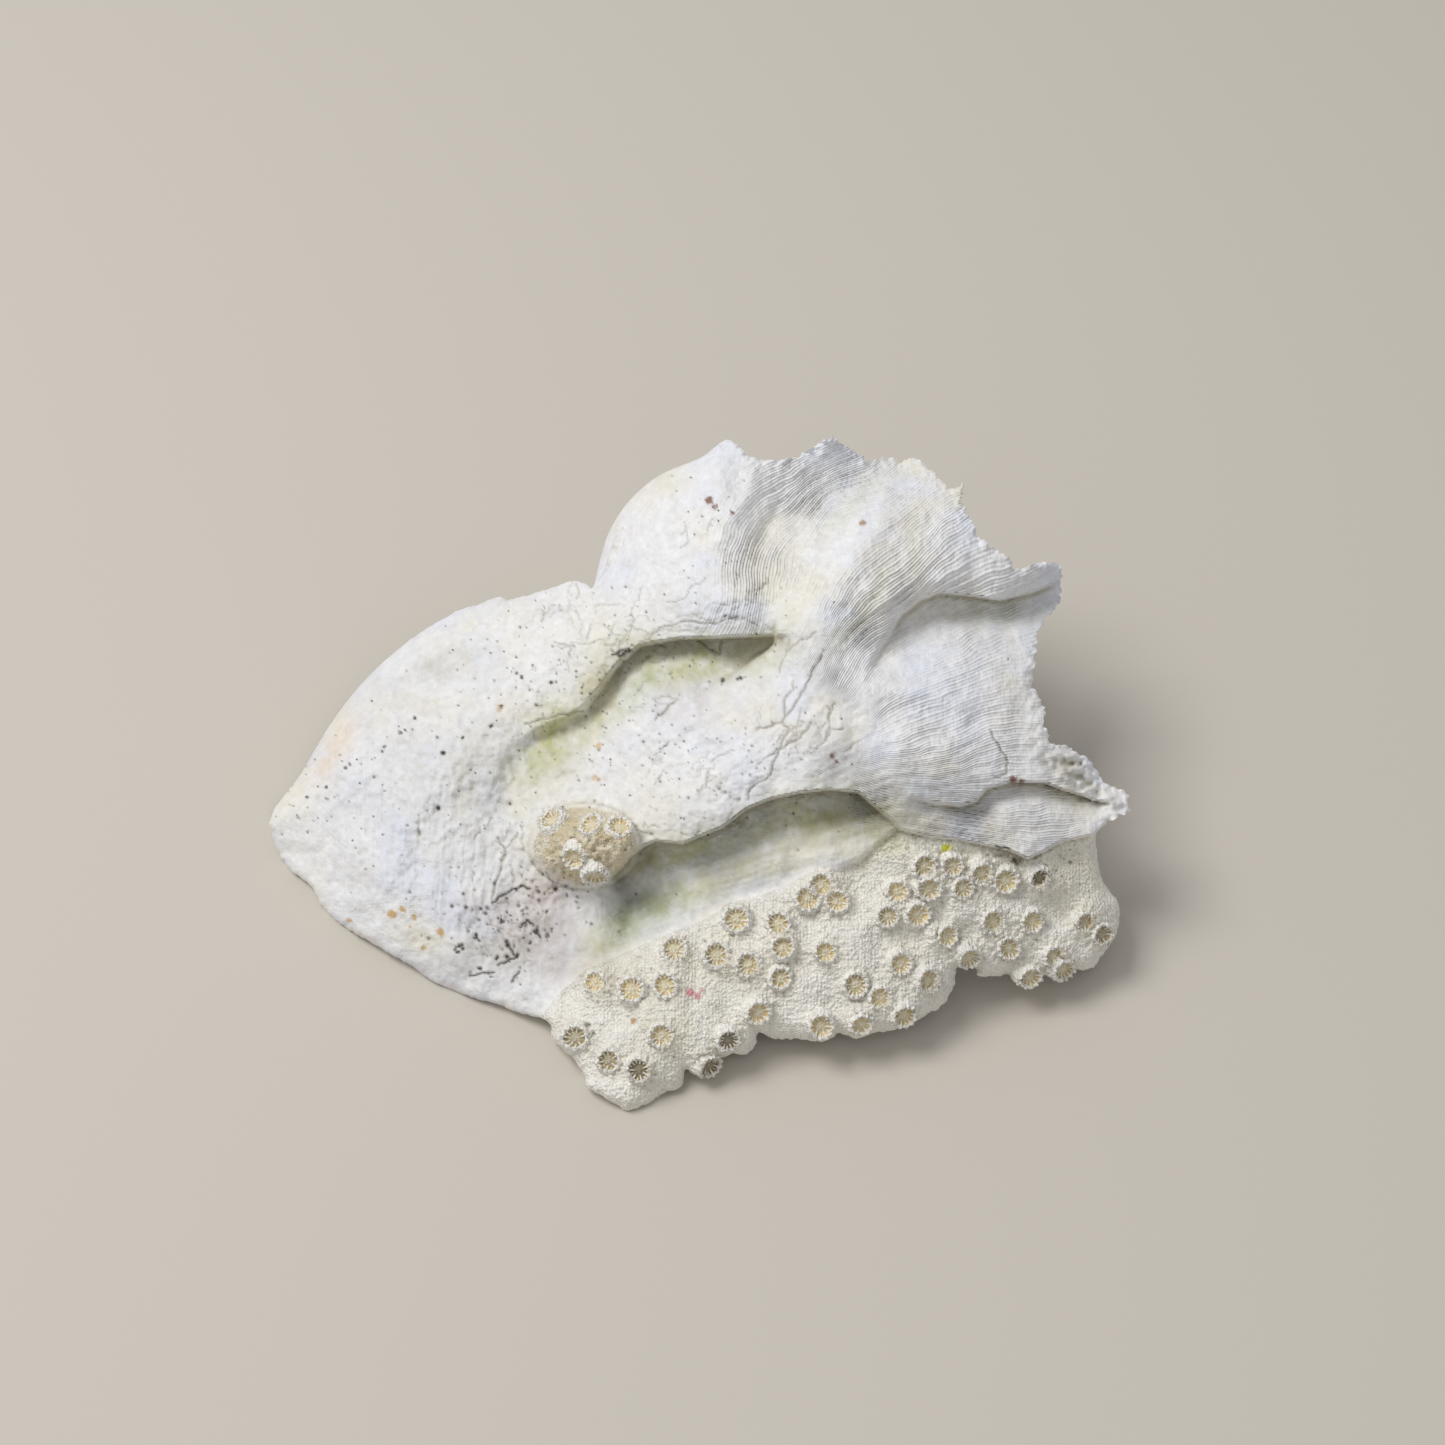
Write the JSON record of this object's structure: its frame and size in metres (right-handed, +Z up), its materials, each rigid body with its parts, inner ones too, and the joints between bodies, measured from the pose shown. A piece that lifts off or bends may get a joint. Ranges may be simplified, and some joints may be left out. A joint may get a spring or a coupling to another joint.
{
  "type": "cabbage coral plate fragment",
  "caption": "Dry bleached plate of cabbage coral: ribbed underside up, two long hollows, ragged fan and a front frond of small cups. Rests on its edges.",
  "frame": {"origin": "centre of the bounding box, on the surface the coral rests on", "axes": "+X along the length, from the low lobe to the tip of the fan; +Y from the front frond to the back of the fan; +Z up"},
  "size_m": [0.1382, 0.1039, 0.0516],
  "materials": {
    "coral_skeleton": "dry matte bleached skeleton, finely ribbed and granular, pale green in the hollows, tan in the cups"
  },
  "bodies": {
    "root": {"coral": "coral_skeleton"}
  },
  "joints": []
}
